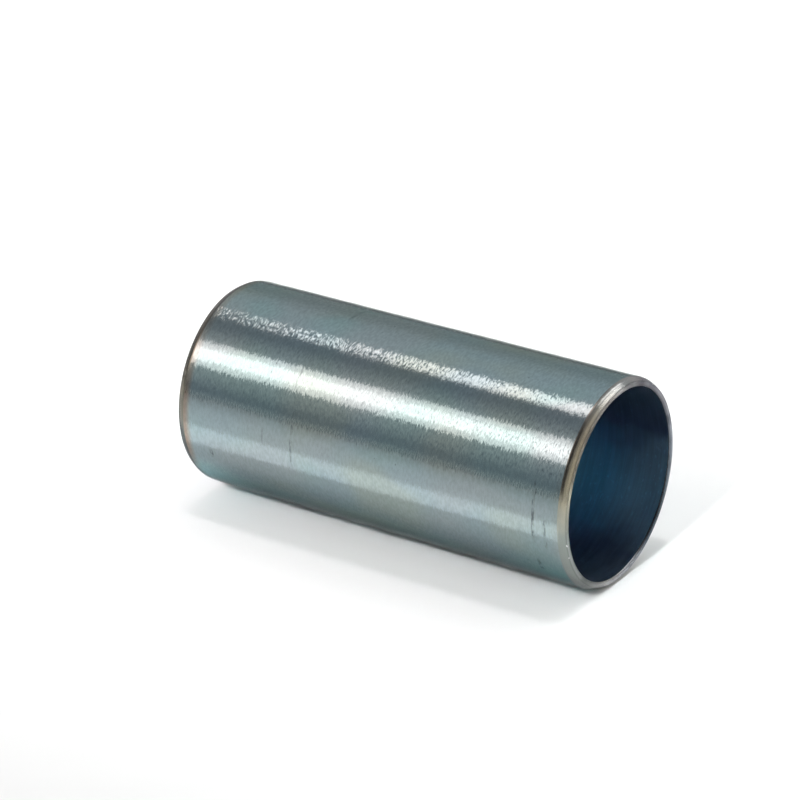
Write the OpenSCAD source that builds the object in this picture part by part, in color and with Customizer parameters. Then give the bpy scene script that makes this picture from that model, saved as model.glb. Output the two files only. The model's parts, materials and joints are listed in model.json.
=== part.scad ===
// Rigid sleeve coupling: a thin-walled steel sleeve that is pushed over the ends of two
// shafts or tubes and holds them in line.
// Frame: X runs along the sleeve's axis and Z is up. The origin is on the axis at mid-length,
// so the sleeve lies on its side, half its diameter above the surface that it rests on.

/* [Sleeve] */
// Outside diameter of the sleeve
outer_d = 35; // [20:0.5:80]
// Wall thickness of the sleeve
wall = 1.5; // [1:0.1:4]
// Length from end face to end face
sleeve_len = 75; // [20:1:200]

/* [Ends] */
// Length of the outer chamfer along the axis, the same at both ends
chamfer_len = 1; // [0.2:0.1:1.2]
// Angle between the outer chamfer and the axis
chamfer_angle = 30; // [15:5:30]
// Width of the 45 degree edge break at each mouth of the bore
edge_break = 0.1; // [0.05:0.05:0.3]

/* [Hidden] */
outer_r = outer_d / 2;
bore_r = outer_r - wall;
half_len = sleeve_len / 2;
chamfer_depth = chamfer_len * tan(chamfer_angle);
round_segments = 180;

// The wall's cross-section at one end, from the bore out: x is the distance from the axis
// and y the distance from mid-length.
near_end = [
    [bore_r, half_len - edge_break],
    [bore_r + edge_break, half_len],
    [outer_r - chamfer_depth, half_len],
    [outer_r, half_len - chamfer_len],
];

// The other end has the same outline, taken back from the outside to the bore.
far_end = [
    for (i = [len(near_end) - 1 : -1 : 0])
        [near_end[i].x, -near_end[i].y],
];

// The cross-section turned once round the axis.
module sleeve() {
    color("lightsteelblue")
        rotate([0, 90, 0])
            rotate_extrude($fn = round_segments)
                polygon(concat(near_end, far_end));
}

sleeve();
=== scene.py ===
"""Looks of the rigid sleeve coupling: a zinc-plated steel sleeve on a pale studio floor.

Everything is in metres in the CAD frame: X along the sleeve's axis, Z up, the origin on the
axis at mid-length. Angles round the sleeve are measured from the top towards the camera's side.
The near end is the one at +X, which faces the camera.
"""

import json
import math

import bmesh
import bpy
from mathutils import Matrix, Vector, noise


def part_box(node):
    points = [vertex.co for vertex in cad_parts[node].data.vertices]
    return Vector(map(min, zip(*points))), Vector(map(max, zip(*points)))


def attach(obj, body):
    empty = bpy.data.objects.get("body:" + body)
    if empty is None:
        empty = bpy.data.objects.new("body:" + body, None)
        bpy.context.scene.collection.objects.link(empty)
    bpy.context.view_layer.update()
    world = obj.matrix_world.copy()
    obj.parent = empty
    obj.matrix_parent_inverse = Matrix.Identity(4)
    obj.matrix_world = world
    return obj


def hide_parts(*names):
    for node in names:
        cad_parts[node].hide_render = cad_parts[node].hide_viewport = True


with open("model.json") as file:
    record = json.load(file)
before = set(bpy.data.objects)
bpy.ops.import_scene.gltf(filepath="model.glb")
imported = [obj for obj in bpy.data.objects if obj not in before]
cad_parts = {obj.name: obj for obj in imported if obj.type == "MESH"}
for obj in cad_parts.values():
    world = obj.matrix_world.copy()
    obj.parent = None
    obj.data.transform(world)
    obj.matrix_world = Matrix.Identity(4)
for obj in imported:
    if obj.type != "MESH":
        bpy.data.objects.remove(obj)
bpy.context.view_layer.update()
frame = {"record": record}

MM = 0.001
DEGREE = math.radians(1)
FULL_TURN = 2 * math.pi
CHAMFER_ANGLE = 30 * DEGREE

# ---------------------------------------------------------------- sizes from the CAD record
mounts = {mount["name"]: mount for mount in frame["record"]["mounts"]}
outer_r = mounts["outside"]["dims"]["r_mm"] * MM
bore_r = mounts["bore"]["dims"]["r_mm"] * MM
half_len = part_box("sleeve")[1].x
seat_half_len = mounts["outside"]["dims"]["length_mm"] * MM / 2
chamfer_depth = (half_len - seat_half_len) * math.tan(CHAMFER_ANGLE)
crest_r = outer_r - chamfer_depth
floor_z = -outer_r

# ---------------------------------------------------------------- the sleeve's mesh
ROUND_STEPS = 480
WALL_STEP = 1.6 * MM
# The gap between the evenly spaced points of a wall and the rounded edge at each end of it.
WALL_MARGIN = 0.06 * MM
SHOULDER_ROUND = 1.7 * MM
SHOULDER_STEPS = 8
# How many points of the shoulder's round still have the outside's material.
SHOULDER_OUTSIDE = 2
CREST_ROUND = 0.14 * MM
CREST_STEPS = 6
MOUTH_ROUND = 0.25 * MM
MOUTH_STEPS = 8
CHAMFER_POINTS = 24
FACE_POINTS = 5
TOOL_LINES = 4
TOOL_LINE_DEPTH = 0.012 * MM
WAVE_HEIGHT = 0.008 * MM
WAVE_LENGTH = 11 * MM
# The waviness fades out over this distance from an end face.
CALM_REACH = 4 * MM
NICK_REACH = 0.4 * MM
# Small knocks on the rims: which end, angle, distance in from the end face, depth.
NICKS = (
    (1, 7 * DEGREE, 0.5 * MM, 0.06 * MM),
    (1, 38 * DEGREE, 0.1 * MM, 0.05 * MM),
    (1, 296 * DEGREE, 0.3 * MM, 0.04 * MM),
    (-1, 66 * DEGREE, 0.6 * MM, 0.05 * MM),
    (-1, 205 * DEGREE, 0.4 * MM, 0.06 * MM),
)
OUTSIDE, ENDS, BORE = range(3)


def add_to_scene(thing):
    bpy.context.scene.collection.objects.link(thing)


def around(angle):
    """The direction away from the axis at an angle from the top towards the camera's side."""
    return Vector((0, -math.sin(angle), math.cos(angle)))


def rounded(before, corner, after, radius, steps):
    """Points of the arc of that radius which rounds the corner between two straight runs."""
    to_before = (before - corner).normalized()
    to_after = (after - corner).normalized()
    half_angle = to_before.angle(to_after) / 2
    reach = radius / math.tan(half_angle)
    centre = corner + (to_before + to_after).normalized() * radius / math.sin(half_angle)
    start = corner + to_before * reach - centre
    finish = corner + to_after * reach - centre
    turn = start.angle(finish)
    points = []
    for i in range(steps + 1):
        first_share = math.sin((1 - i / steps) * turn) / math.sin(turn)
        last_share = math.sin(i / steps * turn) / math.sin(turn)
        points.append(centre + start * first_share + finish * last_share)
    return points


def between(start, finish, count):
    """Evenly spaced points strictly between two points."""
    return [start.lerp(finish, i / (count + 1)) for i in range(1, count + 1)]


def tool_lined(points, outward):
    """Cuts shallow turned grooves into a run of points across the chamfer."""
    lined = []
    for i, point in enumerate(points):
        phase = (i + 1) / (len(points) + 1) * TOOL_LINES * FULL_TURN
        lined.append(point - outward * TOOL_LINE_DEPTH * (1 - math.cos(phase)) / 2)
    return lined


def wall_run(start, finish, radius, region, steps):
    """Evenly spaced points of a straight wall, from one place along the axis to another."""
    places = [start + (finish - start) * i / steps for i in range(steps + 1)]
    return [(Vector((place, radius)), region) for place in places]


def cross_section():
    """The closed outline of the wall as ((x, radius), region), once round the metal."""
    seat = Vector((0, outer_r))
    shoulder = Vector((seat_half_len, outer_r))
    crest = Vector((half_len, crest_r))
    mouth = Vector((half_len, bore_r))
    bore = Vector((0, bore_r))
    shoulder_arc = rounded(seat, shoulder, crest, SHOULDER_ROUND, SHOULDER_STEPS)
    crest_arc = rounded(shoulder, crest, mouth, CREST_ROUND, CREST_STEPS)
    mouth_arc = rounded(crest, mouth, bore, MOUTH_ROUND, MOUTH_STEPS)
    slope = (crest - shoulder).normalized()
    outward = Vector((-slope.y, slope.x))
    chamfer = tool_lined(between(shoulder_arc[-1], crest_arc[0], CHAMFER_POINTS), outward)
    face = between(crest_arc[-1], mouth_arc[0], FACE_POINTS)

    end_points = shoulder_arc[SHOULDER_OUTSIDE:] + chamfer + crest_arc + face + mouth_arc
    near = [(point, OUTSIDE) for point in shoulder_arc[:SHOULDER_OUTSIDE]]
    near += [(point, ENDS) for point in end_points]
    far = [(Vector((-point.x, point.y)), region) for point, region in reversed(near)]
    wall_reach = shoulder_arc[0].x - WALL_MARGIN
    bore_reach = mouth_arc[-1].x - WALL_MARGIN
    steps = round(2 * wall_reach / WALL_STEP)
    outside = wall_run(-wall_reach, wall_reach, outer_r, OUTSIDE, steps)
    inside = wall_run(bore_reach, -bore_reach, bore_r, BORE, steps)
    return outside + near + inside + far


def worn(place, outwards, region):
    """Moves a point of the perfect sleeve into the metal by its waviness and any nick near it."""
    calm = min(1.0, (half_len - abs(place.x)) / CALM_REACH)
    sink = abs(noise.noise(place / WAVE_LENGTH)) * WAVE_HEIGHT * calm
    if region == BORE:
        return place + outwards * sink
    for end, angle, inset, depth in NICKS:
        centre = Vector((end * (half_len - inset), 0, 0)) + around(angle) * place.yz.length
        gap = (place - centre).length / NICK_REACH
        sink += depth * math.exp(-gap * gap)
    return place - outwards * sink


def build_sleeve():
    """Turns the cross-section round the X axis into one closed mesh."""
    shape = bmesh.new()
    outline = cross_section()
    rings = []
    for point, region in outline:
        ring = []
        for step in range(ROUND_STEPS):
            outwards = around(FULL_TURN * step / ROUND_STEPS)
            place = Vector((point.x, 0, 0)) + outwards * point.y
            ring.append(shape.verts.new(worn(place, outwards, region)))
        rings.append(ring)
    for index, (point, region) in enumerate(outline):
        following = (index + 1) % len(outline)
        for step in range(ROUND_STEPS):
            after = (step + 1) % ROUND_STEPS
            corners = (rings[index][step], rings[index][after],
                       rings[following][after], rings[following][step])
            face = shape.faces.new(corners)
            face.smooth = True
            face.material_index = region if region == outline[following][1] else ENDS
    bmesh.ops.recalc_face_normals(shape, faces=shape.faces)
    mesh = bpy.data.meshes.new("sleeve_body")
    shape.to_mesh(mesh)
    shape.free()
    piece = bpy.data.objects.new("sleeve_body", mesh)
    add_to_scene(piece)
    return piece


# ---------------------------------------------------------------- node trees
# The ranges that a noise mostly stays in, and that a grain's tilt follows before it is held.
NOISE_RANGE = (0.3, 0.7)
GRAIN_RANGE = (0.28, 0.72)
# The far half's look takes over between these places along the axis.
FAR_HALF = (0.0, -0.1 * half_len)


class Nodes:
    """A node tree, with one short call for each kind of node that the looks use."""

    def __init__(self, owner, coordinates):
        owner.use_nodes = True
        self.tree = owner.node_tree
        self.place = self.add("TexCoord").outputs[coordinates]

    def add(self, kind, **settings):
        made = self.tree.nodes.new("ShaderNode" + kind)
        for key, value in settings.items():
            setattr(made, key, value)
        return made

    def feed(self, socket, value):
        if isinstance(value, bpy.types.NodeSocket):
            self.tree.links.new(value, socket)
        else:
            socket.default_value = value

    def run(self, made, *values, output=0):
        """Feeds a node's inputs in their order, and gives one of its outputs."""
        for socket, value in zip(made.inputs, values):
            self.feed(socket, value)
        return made.outputs[output]

    def math(self, operation, *values):
        return self.run(self.add("Math", operation=operation), *values)

    def product(self, first, second):
        return self.math("MULTIPLY", first, second)

    def vector(self, operation, *values):
        made = self.add("VectorMath", operation=operation)
        gives_number = operation in ("DOT_PRODUCT", "LENGTH")
        return self.run(made, *values, output="Value" if gives_number else "Vector")

    def scaled(self, vector, factor):
        made = self.add("VectorMath", operation="SCALE")
        self.feed(made.inputs["Scale"], factor)
        return self.run(made, vector)

    def parts(self, vector):
        """The three numbers of a vector or colour."""
        made = self.add("SeparateXYZ")
        self.feed(made.inputs[0], vector)
        return made.outputs

    def stretched(self, along, across):
        """Coordinates in which a feature is `along` metres long on X and `across` metres round."""
        return self.vector("MULTIPLY", self.place, (1 / along, 1 / across, 1 / across))

    def noise(self, coordinates, detail=2.0, roughness=0.5):
        made = self.add("TexNoise")
        for key, value in (("Vector", coordinates), ("Scale", 1.0), ("Detail", detail),
                           ("Roughness", roughness)):
            self.feed(made.inputs[key], value)
        return made

    def step(self, value, low, high, to_low=0.0, to_high=1.0):
        """A smooth step from to_low at low to to_high at high."""
        made = self.add("MapRange", interpolation_type="SMOOTHSTEP")
        return self.run(made, value, low, high, to_low, to_high)

    def varied(self, noise_value, least, most):
        """A value that follows a noise from least to most, over the range that it mostly has."""
        return self.step(noise_value, *NOISE_RANGE, least, most)

    def blend(self, share, first, second, mode="MIX"):
        """Mixes two colours, by the sockets that a Mix node has for its factor and colours."""
        made = self.add("Mix", data_type="RGBA", blend_type=mode)
        for index, value in ((0, share), (6, first), (7, second)):
            self.feed(made.inputs[index], value)
        return made.outputs[2]

    def shaded(self, colour, lightness):
        """A colour made lighter or darker by a number that changes over the surface."""
        grey = self.run(self.add("CombineXYZ"), lightness, lightness, lightness)
        return self.blend(1.0, colour, grey, "MULTIPLY")


class Zinc(Nodes):
    """A zinc-plated surface: metal with grain that runs round the sleeve."""

    def __init__(self, name):
        self.material = bpy.data.materials.new(name)
        super().__init__(self.material, "Object")
        self.surface = self.tree.nodes["Principled BSDF"].inputs
        self.feed(self.surface["Metallic"], 1.0)
        where = self.parts(self.place)
        self.along = where[0]
        self.angle = self.math("ARCTAN2", self.product(where[1], -1.0), where[2])

    def from_middle(self):
        """The distance along the axis from the middle of the sleeve."""
        return self.math("ABSOLUTE", self.along)

    def by_end(self, near, far):
        """One value on the near half of the sleeve and another on the far half."""
        return self.step(self.along, *FAR_HALF, near, far)

    def facing(self, angle, side):
        """How nearly an angle round the sleeve faces a side: 1 where it does, -1 opposite."""
        return self.math("COSINE", self.math("SUBTRACT", angle, side))

    def anisotropic(self, amount):
        """Smooth round the sleeve and rougher along it, as grinding leaves it."""
        quarter_turn = 0.25
        self.feed(self.surface["Anisotropic"], amount)
        self.feed(self.surface["Anisotropic Rotation"], quarter_turn)
        tangent = self.add("Tangent", direction_type="RADIAL", axis="X")
        self.feed(self.surface["Tangent"], tangent.outputs[0])

    def tip(self, share, furthest):
        """A tilt in step with a noise, held within the furthest that any grain leans."""
        return self.run(self.add("MapRange"), share, *GRAIN_RANGE, -furthest, furthest)

    def grained(self, grain, axial, circling):
        """Tips the normal by each grain, along the axis and round it, by up to so many radians."""
        axis = (1.0, 0.0, 0.0)
        normal = self.add("NewGeometry").outputs["Normal"]
        tangent = self.vector("CROSS_PRODUCT", axis, normal)
        shares = self.parts(grain.outputs["Color"])
        tilt = self.scaled(axis, self.tip(shares[0], axial))
        turn = self.scaled(tangent, self.tip(shares[1], circling))
        tipped = self.vector("ADD", normal, self.vector("ADD", tilt, turn))
        self.feed(self.surface["Normal"], self.vector("NORMALIZE", tipped))

    def mark(self, share, first, last, width, strength):
        """The strength of a row of fine pits round the sleeve from one angle to another."""
        wander = self.noise(self.stretched(along=3 * MM, across=3 * MM)).outputs["Fac"]
        centre = (2 * share - 1) * half_len
        line = self.math("MULTIPLY_ADD", wander, MARK_WANDER, centre - MARK_WANDER / 2)
        off = self.math("ABSOLUTE", self.math("SUBTRACT", self.along, line))
        inside = self.step(off, MARK_CORE * width, MARK_EDGE * width, strength, 0.0)
        beads = self.noise(self.stretched(along=0.5 * MM, across=1.1 * MM), detail=3.0)
        pits = self.step(beads.outputs["Fac"], *PIT_EDGES, BETWEEN_PITS, 1.0)
        pitted = self.product(inside, pits)
        begun = self.step(self.angle, first - MARK_FADE, first + MARK_FADE)
        unfinished = self.step(self.angle, last - MARK_FADE, last + MARK_FADE, 1.0, 0.0)
        return self.product(pitted, self.product(begun, unfinished))


# ---------------------------------------------------------------- the outside
# Dark marks: share of the length from the far end, first and last angle, width, strength.
MARKS = (
    (0.308, 72 * DEGREE, 101 * DEGREE, 0.40 * MM, 0.55),
    (0.298, 46 * DEGREE, 57 * DEGREE, 0.40 * MM, 0.35),
    (0.922, 72 * DEGREE, 106 * DEGREE, 0.50 * MM, 0.7),
    (0.922, 119 * DEGREE, 128 * DEGREE, 0.60 * MM, 0.7),
    (0.952, 91 * DEGREE, 107 * DEGREE, 0.50 * MM, 0.5),
    (0.233, 83 * DEGREE, 94 * DEGREE, 0.40 * MM, 0.25),
    (0.085, 107 * DEGREE, 111 * DEGREE, 0.70 * MM, 0.7),
    (0.325, -9 * DEGREE, 7 * DEGREE, 0.60 * MM, 0.3),
)
MARK_WANDER = 0.6 * MM
MARK_FADE = 2 * DEGREE
# Shares of a mark's width, out from its middle, where it starts to fade and where it ends.
MARK_CORE = 0.35
MARK_EDGE = 0.75
# The noise at which a pit starts and is full, and the strength of the mark between pits.
PIT_EDGES = (0.38, 0.66)
BETWEEN_PITS = 0.1
# Colour of stains and pits, also used for painted shade beside the near shoulder.
STAIN_AND_SHADE = (0.045, 0.05, 0.055, 1)
# The noise at which a dark speck starts and is full, and how dark it is.
SPECK_EDGES = (0.80, 0.84)
SPECK_STRENGTH = 0.45
BLUE_GREY = (0.245, 0.308, 0.330, 1)
# Tints that drift over the blue grey: channel of the noise, where the tint starts and is full.
DRIFTING_TINTS = (
    (0, 0.35, 0.65, (0.236, 0.315, 0.320, 1)),
    (1, 0.44, 0.68, (0.262, 0.311, 0.300, 1)),
    (2, 0.46, 0.70, (0.260, 0.304, 0.317, 1)),
)
# Teal low down towards both ends, from where it starts to where it is full. At the far end it is
# much lighter, a painted reflection of bright surroundings below.
FAR_TEAL_PAINTED_REFLECTION = (0.40, 0.61, 0.64, 1)
NEAR_TEAL = (0.25, 0.38, 0.395, 1)
TEAL_CHANGE = (-0.5 * half_len, 0.5 * half_len)
TEAL_PLACES = (0.6 * half_len, 0.95 * half_len)
TEAL_ANGLES = (110 * DEGREE, 134 * DEGREE)
# Brown beside the chamfers, from where it starts to where it is full, strongest in front.
BROWN = (0.27, 0.19, 0.135, 1)
BROWN_STRENGTH = 0.75
BROWN_PLACES = (half_len - 2.9 * MM, half_len - 1.6 * MM)
BROWN_RISE = (50 * DEGREE, 75 * DEGREE)
BROWN_FALL = (105 * DEGREE, 125 * DEGREE)
BROWN_OFF_FRONT = 0.4
BROWN_NEAR_END = 0.12
# What is left of the mirrored light near grazing angles.
OUTSIDE_EDGE_TINT = (0.31, 0.33, 0.33, 1)


def outside_tints(zinc, channels):
    """The passivation's drifting tints, the teal low down with a painted reflection at the far end,
    and the brown beside the chamfers.
    """
    colour = BLUE_GREY
    for channel, start, full, tint in DRIFTING_TINTS:
        colour = zinc.blend(zinc.step(channels[channel], start, full), colour, tint)

    from_middle = zinc.from_middle()
    to_ends = zinc.step(from_middle, *TEAL_PLACES)
    low_ends = zinc.product(to_ends, zinc.step(zinc.angle, *TEAL_ANGLES))
    # Teal tint low near both ends, much lighter at the far end as a painted reflection.
    teal_and_painted_reflection = zinc.blend(zinc.step(zinc.along, *TEAL_CHANGE), FAR_TEAL_PAINTED_REFLECTION, NEAR_TEAL)
    colour = zinc.blend(low_ends, colour, teal_and_painted_reflection)

    by_chamfer = zinc.step(from_middle, *BROWN_PLACES)
    front = zinc.product(zinc.step(zinc.angle, *BROWN_RISE, BROWN_OFF_FRONT, 1.0),
                         zinc.step(zinc.angle, *BROWN_FALL, 1.0, BROWN_OFF_FRONT))
    browned = zinc.product(by_chamfer, zinc.product(zinc.by_end(BROWN_NEAR_END, 1.0), front))
    return zinc.blend(zinc.product(browned, BROWN_STRENGTH), colour, BROWN)


def outside_material():
    """Bright zinc over fine grinding marks, with faint passivation tints, a painted reflection low
    down at the far end, and a few stains.
    """
    zinc = Zinc("zinc_outside")
    grain = zinc.noise(zinc.stretched(along=0.19 * MM, across=0.65 * MM), roughness=0.6)
    hairs = zinc.noise(zinc.stretched(along=0.34 * MM, across=0.8 * MM))
    patches = zinc.noise(zinc.stretched(along=17 * MM, across=11 * MM), detail=1.0)
    specks = zinc.noise(zinc.stretched(along=0.9 * MM, across=0.9 * MM), detail=1.0)
    channels = zinc.parts(patches.outputs["Color"])

    colour = outside_tints(zinc, channels)
    colour = zinc.shaded(colour, zinc.varied(hairs.outputs["Fac"], least=0.93, most=1.07))
    for mark in MARKS:
        colour = zinc.blend(zinc.mark(*mark), colour, STAIN_AND_SHADE)
    speckled = zinc.step(specks.outputs["Fac"], *SPECK_EDGES, 0.0, SPECK_STRENGTH)
    colour = zinc.blend(speckled, colour, STAIN_AND_SHADE)
    zinc.feed(zinc.surface["Base Color"], colour)
    zinc.feed(zinc.surface["Roughness"], zinc.varied(channels[2], least=0.11, most=0.14))
    zinc.feed(zinc.surface["Specular Tint"], OUTSIDE_EDGE_TINT)
    zinc.anisotropic(amount=0.2)
    zinc.grained(grain, axial=0.12, circling=0.026)
    return zinc.material


# ---------------------------------------------------------------- the ends
# The colours round each end, angle in degrees and colour: passivation tints, and painted light and
# shade that make the chamfer's reflections lighter or darker at each angle.
END_TINTS_AND_PAINTED_LIGHT = (
    (-30, (0.13, 0.13, 0.145)),
    (-8, (0.27, 0.27, 0.27)),
    (10, (0.32, 0.31, 0.29)),
    (45, (0.36, 0.32, 0.26)),
    (75, (0.46, 0.43, 0.33)),
    (98, (0.25, 0.28, 0.26)),
    (146, (0.22, 0.23, 0.22)),
    (162, (0.38, 0.38, 0.37)),
    (180, (0.36, 0.36, 0.36)),
    (200, (0.28, 0.29, 0.31)),
    (216, (0.10, 0.12, 0.15)),
    (234, (0.14, 0.17, 0.20)),
    (280, (0.20, 0.22, 0.25)),
    (305, (0.28, 0.28, 0.30)),
)
# How far the tints wander, as a share of a full turn.
TINT_WANDER = 0.10
# The painted shade over the far end, and what is left of the mirrored light near grazing angles.
FAR_END_PAINTED_SHADE = (0.48, 0.48, 0.50, 1)
ENDS_EDGE_TINT = (0.55, 0.55, 0.57, 1)
# The crest is stained, and worn bare in flecks, up to these distances to either side of it.
CREST_PLACES = (0.05 * MM, 0.13 * MM)
CREST_STAIN = 0.3
BARE_FLECKS = (0.68, 0.74)
BARE_STEEL = (0.80, 0.79, 0.77, 1)
# Painted shade darkens the end face beside the mouth, out to these distances from the bore.
MOUTH_SHADE_REACH = (0.1 * MM, 0.5 * MM)
MOUTH_SHADE_LIGHTNESS = 0.6
MOTTLED_RANGE = (0.38, 0.62)
# Sides where the end face is dull: the angle, and how nearly it is faced at the start and in full.
DULL_SIDES = (
    (42 * DEGREE, 0.75, 0.95),
    (231 * DEGREE, 0.90, 0.99),
)
DULL_LIGHTNESS = 0.5
# A stain beside the near shoulder, partly wear and partly painted shade that cuts back the
# chamfer's highlight: how far in from the outside it starts and is full, and where.
SHOULDER_STAIN_AND_SHADE_DEPTHS = (0.36 * MM, 0.2 * MM)
SHOULDER_STAIN_AND_SHADE_STRENGTH = 0.55
STAINED_AND_SHADED_SIDE = 38 * DEGREE
STAINED_AND_SHADED_FACING = (0.72, 0.92)


def end_tints_and_painted_light(zinc, wander):
    """The end colour at each angle round the sleeve: passivation tint with painted light and shade.
    """
    first_angle, first_end_colour = END_TINTS_AND_PAINTED_LIGHT[0]
    tints_and_painted_light = END_TINTS_AND_PAINTED_LIGHT + ((first_angle + 360, first_end_colour),)
    turned = zinc.math("SUBTRACT", zinc.angle, first_angle * DEGREE)
    whole = zinc.math("FLOORED_MODULO", turned, FULL_TURN)
    wandering = zinc.math("MULTIPLY_ADD", wander, TINT_WANDER, -TINT_WANDER / 2)
    ramp = zinc.add("ValToRGB")
    stops = ramp.color_ramp.elements
    while len(stops) < len(tints_and_painted_light):
        stops.new(1.0)
    for stop, (angle, tint) in zip(stops, tints_and_painted_light):
        stop.position = (angle - first_angle) / 360
        stop.color = (*tint, 1)
    return zinc.run(ramp, zinc.math("MULTIPLY_ADD", whole, 1 / FULL_TURN, wandering))


def face_lightness(zinc, radius, mottling):
    """How light the end face is: mottled, with painted shade beside the mouth, and dull on two
    sides.
    """
    # Painted shade beside the mouth of the bore.
    from_bore = [bore_r + distance for distance in MOUTH_SHADE_REACH]
    lightness = zinc.step(radius, *from_bore, MOUTH_SHADE_LIGHTNESS, 1.0)
    for side, start, full in DULL_SIDES:
        dulled = zinc.step(zinc.facing(zinc.angle, side), start, full, 1.0, DULL_LIGHTNESS)
        lightness = zinc.product(lightness, dulled)
    return zinc.product(lightness, zinc.step(mottling, *MOTTLED_RANGE, to_low=0.6, to_high=1.2))


def ends_material():
    """The turned chamfer and end face, whose passivation tint and painted light and shade change
    round the sleeve, with painted shade over the far end.
    """
    zinc = Zinc("zinc_ends")
    grain = zinc.noise(zinc.stretched(along=0.15 * MM, across=1.2 * MM))
    patches = zinc.noise(zinc.stretched(along=2 * MM, across=5 * MM)).outputs["Fac"]
    flecks = zinc.noise(zinc.stretched(along=0.5 * MM, across=0.9 * MM), detail=1.0)
    radius = zinc.vector("LENGTH", zinc.vector("MULTIPLY", zinc.place, (0.0, 1.0, 1.0)))

    from_crest = zinc.math("ABSOLUTE", zinc.math("SUBTRACT", radius, crest_r))
    by_crest = zinc.step(from_crest, *CREST_PLACES, 1.0, 0.0)
    # The end colours carry painted light and shade round each end.
    colour = zinc.blend(zinc.product(by_crest, CREST_STAIN), end_tints_and_painted_light(zinc, patches), STAIN_AND_SHADE)
    bared = zinc.product(by_crest, zinc.step(flecks.outputs["Fac"], *BARE_FLECKS))
    colour = zinc.blend(bared, colour, BARE_STEEL)
    on_chamfer = zinc.step(radius, crest_r - CREST_PLACES[0], crest_r)
    face_colour = zinc.shaded(colour, face_lightness(zinc, radius, patches))
    colour = zinc.blend(on_chamfer, face_colour, colour)

    # Stain and painted shade beside the near shoulder, darkening the top of the chamfer.
    strength = zinc.by_end(near=SHOULDER_STAIN_AND_SHADE_STRENGTH, far=0.0)
    below_shoulder = [outer_r - depth for depth in SHOULDER_STAIN_AND_SHADE_DEPTHS]
    by_shoulder = zinc.step(radius, *below_shoulder, 0.0, strength)
    stained_and_shaded_side = zinc.step(zinc.facing(zinc.angle, STAINED_AND_SHADED_SIDE), *STAINED_AND_SHADED_FACING)
    colour = zinc.blend(zinc.product(by_shoulder, stained_and_shaded_side), colour, STAIN_AND_SHADE)
    # Painted shade: the far end's colours are multiplied darker than the near end's.
    far_painted_shade_colour = zinc.blend(1.0, colour, FAR_END_PAINTED_SHADE, "MULTIPLY")
    colour = zinc.blend(zinc.by_end(near=0.0, far=1.0), colour, far_painted_shade_colour)
    zinc.feed(zinc.surface["Base Color"], colour)
    zinc.feed(zinc.surface["Roughness"], zinc.varied(patches, least=0.20, most=0.27))
    zinc.feed(zinc.surface["Specular Tint"], ENDS_EDGE_TINT)
    zinc.grained(grain, axial=0.05, circling=0.03)
    return zinc.material


# ---------------------------------------------------------------- the bore
# Its colours: along its lit back, deeper in as painted shade, near the mouth as painted light, and
# away from the light as a purple tint with painted shade.
BORE_BLUE = (0.25, 0.585, 0.70, 1)
BORE_DEEP_PAINTED_SHADE = (0.24, 0.52, 0.585, 1)
BORE_MOUTH_PAINTED_LIGHT = (0.49, 0.72, 0.775, 1)
BORE_PURPLE_PAINTED_SHADE = (0.25, 0.33, 0.455, 1)
# The lit back's edge waves by up to so many radians, and BORE_BACK allows for half of that.
BORE_WAVE = 0.6
BORE_BACK = 257 * DEGREE
BORE_BACK_FACING = (0.76, 0.96)
# Distances in from the end faces: the grey painted light gives way to blue, and blue to the deep
# painted shade.
BORE_MOUTH = (12 * MM, 3 * MM)
BORE_DEPTHS = (11 * MM, 17 * MM)
# The noises at which a patch of scuffs and a scuff in it start and are full.
SCUFFED_PATCHES = (0.42, 0.56)
SCUFFS = (0.60, 0.70)
SCUFF_LIGHTNESS = 0.2


def bore_material():
    """The drawn bore: bluer than the outside, with painted light near the mouths, painted shade
    deeper in and a purple tint with painted shade off its lit back, with lines and scuffs.
    """
    zinc = Zinc("zinc_bore")
    grain = zinc.noise(zinc.stretched(along=0.3 * MM, across=0.9 * MM))
    patches = zinc.noise(zinc.stretched(along=9 * MM, across=7 * MM))
    lines = zinc.noise(zinc.stretched(along=0.4 * MM, across=6 * MM)).outputs["Fac"]
    flecks = zinc.noise(zinc.stretched(along=0.5 * MM, across=1.1 * MM)).outputs["Fac"]

    from_middle = zinc.from_middle()
    # Painted light near the mouths and painted shade deeper in.
    mouth = zinc.step(from_middle, *[half_len - inset for inset in BORE_MOUTH])
    deep_painted_shade = zinc.step(from_middle, *[half_len - inset for inset in BORE_DEPTHS])
    colour = zinc.blend(mouth, zinc.blend(deep_painted_shade, BORE_BLUE, BORE_DEEP_PAINTED_SHADE), BORE_MOUTH_PAINTED_LIGHT)
    waved = zinc.math("MULTIPLY_ADD", patches.outputs["Fac"], BORE_WAVE, zinc.angle)
    lit_back = zinc.step(zinc.facing(waved, BORE_BACK), *BORE_BACK_FACING)
    # Purple tint with painted shade away from the lit back.
    colour = zinc.blend(lit_back, BORE_PURPLE_PAINTED_SHADE, colour)
    often = zinc.step(zinc.parts(patches.outputs["Color"])[1], *SCUFFED_PATCHES)
    scuffed = zinc.product(zinc.step(flecks, *SCUFFS), often)
    lined = zinc.varied(lines, least=0.93, most=1.07)
    lightness = zinc.math("MULTIPLY_ADD", scuffed, SCUFF_LIGHTNESS, lined)
    zinc.feed(zinc.surface["Base Color"], zinc.shaded(colour, lightness))
    zinc.feed(zinc.surface["Roughness"], zinc.varied(lines, least=0.29, most=0.34))
    zinc.grained(grain, axial=0.006, circling=0.003)
    return zinc.material


# ---------------------------------------------------------------- camera, lights and floor
CAMERA_YAW = 33.37 * DEGREE
CAMERA_ELEVATION = 24.27 * DEGREE
CAMERA_DISTANCE = 32.0 * outer_r
# Blender takes the lens and the sensor in millimetres.
CAMERA_LENS = 153.07
SENSOR_WIDTH = 36
CENTRE_RIGHT = 0.2176 * outer_r
CENTRE_DOWN = 0.2855 * outer_r


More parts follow.
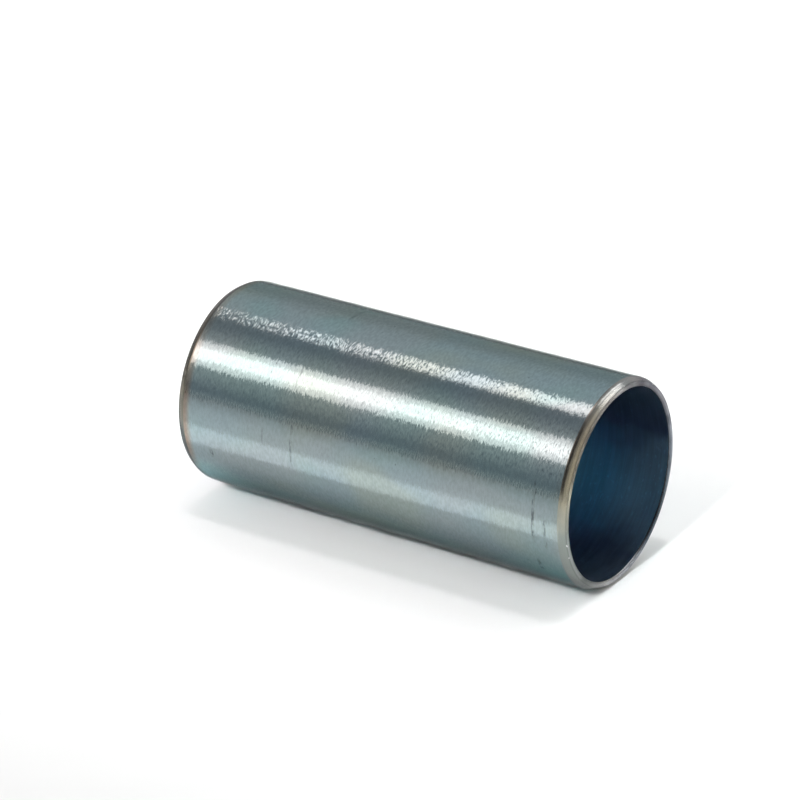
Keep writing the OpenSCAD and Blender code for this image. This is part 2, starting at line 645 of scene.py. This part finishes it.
def add_camera():
    """Looks from the front right and above, with the sleeve a little low and right in the frame."""
    level = Vector((math.sin(CAMERA_YAW), -math.cos(CAMERA_YAW), 0))
    back = level * math.cos(CAMERA_ELEVATION) + Vector((0, 0, math.sin(CAMERA_ELEVATION)))
    right = Vector((math.cos(CAMERA_YAW), math.sin(CAMERA_YAW), 0))
    up = back.cross(right)
    data = bpy.data.cameras.new("camera")
    data.lens = CAMERA_LENS
    data.sensor_width = SENSOR_WIDTH
    camera = bpy.data.objects.new("camera", data)
    camera.location = back * CAMERA_DISTANCE - right * CENTRE_RIGHT + up * CENTRE_DOWN
    camera.rotation_euler = back.to_track_quat("Z", "Y").to_euler()
    add_to_scene(camera)
    bpy.context.scene.camera = camera


WATTS_PER_RADIANCE = 4
WARM = (1.17, 1.0, 0.94)
WHITE = (1, 1, 1)
# The narrow light that lies on the floor in front of the sleeve: its centre, size and turn.
FILL_X = -0.030
FILL_Y = -1.835 * outer_r
FILL_SIZE = (0.122, 0.87 * outer_r)
FILL_TURN = 3.5


def softbox(name, place, size, radiance, aim=(0, 0, 0), colour=WHITE, spread=180, turned=0):
    """A rectangular light at a place, facing a point, with its width as near to X as can be.

    A narrow spread makes a beam that lights white paper to that radiance. The light can be
    turned about the way that it faces, by so many degrees.
    """
    data = bpy.data.lights.new(name, "AREA")
    data.shape = "RECTANGLE"
    data.size, data.size_y = size
    data.energy = radiance * WATTS_PER_RADIANCE * size[0] * size[1]
    data.color = colour
    data.spread = spread * DEGREE
    light = bpy.data.objects.new(name, data)
    back = (Vector(place) - Vector(aim)).normalized()
    side = (Vector((1, 0, 0)) - back * back.x).normalized()
    side.rotate(Matrix.Rotation(turned * DEGREE, 3, back))
    light.matrix_world = Matrix((side, back.cross(side), back)).transposed().to_4x4()
    light.location = place
    light.visible_camera = False
    add_to_scene(light)
    return light


def floor_pool(name, place, size, radiance, aim, spread):
    """A beam that lightens a patch of floor and doesn't show in the metal."""
    light = softbox(name, place, size, radiance, aim, spread=spread)
    light.visible_glossy = False


def add_lights():
    """The lamps whose reflections are the bands on the sleeve, and two pools of light below."""
    softbox("main", place=(-0.62, -0.526, 0.549), size=(0.60, 0.20), radiance=1.13, colour=WARM)
    softbox("main_glow", place=(-0.55, -0.555, 0.58), size=(0.76, 0.395), radiance=1.2, colour=WARM)
    softbox("strip", place=(-0.243, 0.09, 0.75), size=(0.36, 0.172), radiance=1.95, colour=WARM)
    softbox("back", place=(0.19, 0.50, 0.73), size=(0.30, 0.56), radiance=3.2)
    softbox("front_fill", place=(FILL_X, FILL_Y, floor_z + 1 * MM), size=FILL_SIZE, radiance=0.46,
            aim=(FILL_X, FILL_Y, 1), turned=FILL_TURN)
    floor_pool("pool", place=(-0.06, 0.16, 0.9), size=(0.7, 0.36), radiance=0.24,
               aim=(-0.06, 0.16, 0), spread=12)
    floor_pool("low_pool", place=(-0.05, -0.65, 0.56), size=(0.8, 0.23), radiance=0.6,
               aim=(-0.05, 0.09, floor_z), spread=9)


# The studio's colours by direction, which the metal mirrors.
SKY_FRONT_LEFT = (0.335, 0.37, 0.40, 1)
SKY_FRONT_RIGHT = (0.78, 0.76, 0.69, 1)
SKY_BEHIND_LOW = (1.27, 1.22, 1.18, 1)
SKY_BEHIND = (0.75, 0.78, 0.77, 1)
SKY_BEHIND_HIGH = (0.77, 0.83, 0.85, 1)
SKY_LOW_FRONT = (0.58, 0.60, 0.60, 1)
GLOW_COLOUR = (1.4, 1.4, 1.3, 1)
GLOW_DIRECTION = Vector((-0.63, -0.54, 0.54)).normalized()
GLOW_STRENGTH = 0.35
DARK_PANEL = (0.09, 0.09, 0.10, 1)
DARK_PANEL_X = 0.03
# Where the studio changes, by the direction's x, y or z: from the first value to the second.
TO_RIGHT_X = (-0.3, 0.4)
TO_BACK_Y = (0.0, 0.35)
LOW_BEHIND_Z = (0.05, 0.4)
HIGH_BEHIND_Z = (0.42, 0.66)
GLOW_FACING = (0.85, 0.99)
DARK_PANEL_OFF_X = (0.15, 0.36)
DARK_PANEL_Y = (-0.05, -0.35)
LOW_FRONT_Z = (0.09, 0.0)
LOW_FRONT_Y = (0.5, 0.2)


def add_world():
    """A studio that is grey in front on its left, pale on its right, and brightest low behind.

    A dark panel stands in front, and there is a soft glow round the main lamp.
    """
    world = bpy.data.worlds.new("studio")
    bpy.context.scene.world = world
    sky = Nodes(world, "Generated")
    x, y, z = sky.parts(sky.place)
    front = sky.blend(sky.step(x, *TO_RIGHT_X), SKY_FRONT_LEFT, SKY_FRONT_RIGHT)
    behind = sky.blend(sky.step(z, *LOW_BEHIND_Z), SKY_BEHIND_LOW, SKY_BEHIND)
    behind = sky.blend(sky.step(z, *HIGH_BEHIND_Z), behind, SKY_BEHIND_HIGH)
    colour = sky.blend(sky.step(y, *TO_BACK_Y), front, behind)
    towards_lamp = sky.vector("DOT_PRODUCT", sky.place, GLOW_DIRECTION)
    glow = sky.step(towards_lamp, *GLOW_FACING, 0.0, GLOW_STRENGTH)
    colour = sky.blend(glow, colour, GLOW_COLOUR)
    off_centre = sky.math("ABSOLUTE", sky.math("SUBTRACT", x, DARK_PANEL_X))
    across_panel = sky.step(off_centre, *DARK_PANEL_OFF_X, 1.0, 0.0)
    on_panel = sky.product(across_panel, sky.step(y, *DARK_PANEL_Y))
    colour = sky.blend(on_panel, colour, DARK_PANEL)
    low_front = sky.product(sky.step(z, *LOW_FRONT_Z), sky.step(y, *LOW_FRONT_Y))
    colour = sky.blend(low_front, colour, SKY_LOW_FRONT)
    sky.feed(sky.tree.nodes["Background"].inputs["Color"], colour)


FLOOR_HALF = 3.0
PAPER = (0.79, 0.80, 0.81, 1)
PAPER_PAINTED_SHADE = (0.54, 0.55, 0.56, 1)
PAPER_ROUGHNESS = 0.9
# The distances from the origin at which the paper's painted shade starts and is darkest.
PAPER_SHADE_DISTANCES = (0.2, 0.5)


def add_floor():
    """A wide sheet of matt white paper, painted darker away from the lamps' pool of light as
    painted shade.
    """
    mesh = bpy.data.meshes.new("floor")
    signs = ((-1, -1), (1, -1), (1, 1), (-1, 1))
    corners = [(x * FLOOR_HALF, y * FLOOR_HALF, floor_z) for x, y in signs]
    mesh.from_pydata(corners, [], [(0, 1, 2, 3)])
    floor = bpy.data.objects.new("floor", mesh)
    add_to_scene(floor)
    material = bpy.data.materials.new("floor_paper")
    paper = Nodes(material, "Object")
    # Painted shade: the paper's colour darkens away from the origin, beyond the pool of light.
    painted_shade_share = paper.step(paper.vector("LENGTH", paper.place), *PAPER_SHADE_DISTANCES)
    surface = paper.tree.nodes["Principled BSDF"].inputs
    paper.feed(surface["Base Color"], paper.blend(painted_shade_share, PAPER, PAPER_PAINTED_SHADE))
    paper.feed(surface["Roughness"], PAPER_ROUGHNESS)
    mesh.materials.append(material)


bpy.context.scene.view_settings.view_transform = "Standard"
add_camera()
add_world()
add_lights()
add_floor()
sleeve = build_sleeve()
for material in (outside_material(), ends_material(), bore_material()):
    sleeve.data.materials.append(material)
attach(sleeve, "root")
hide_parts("sleeve")
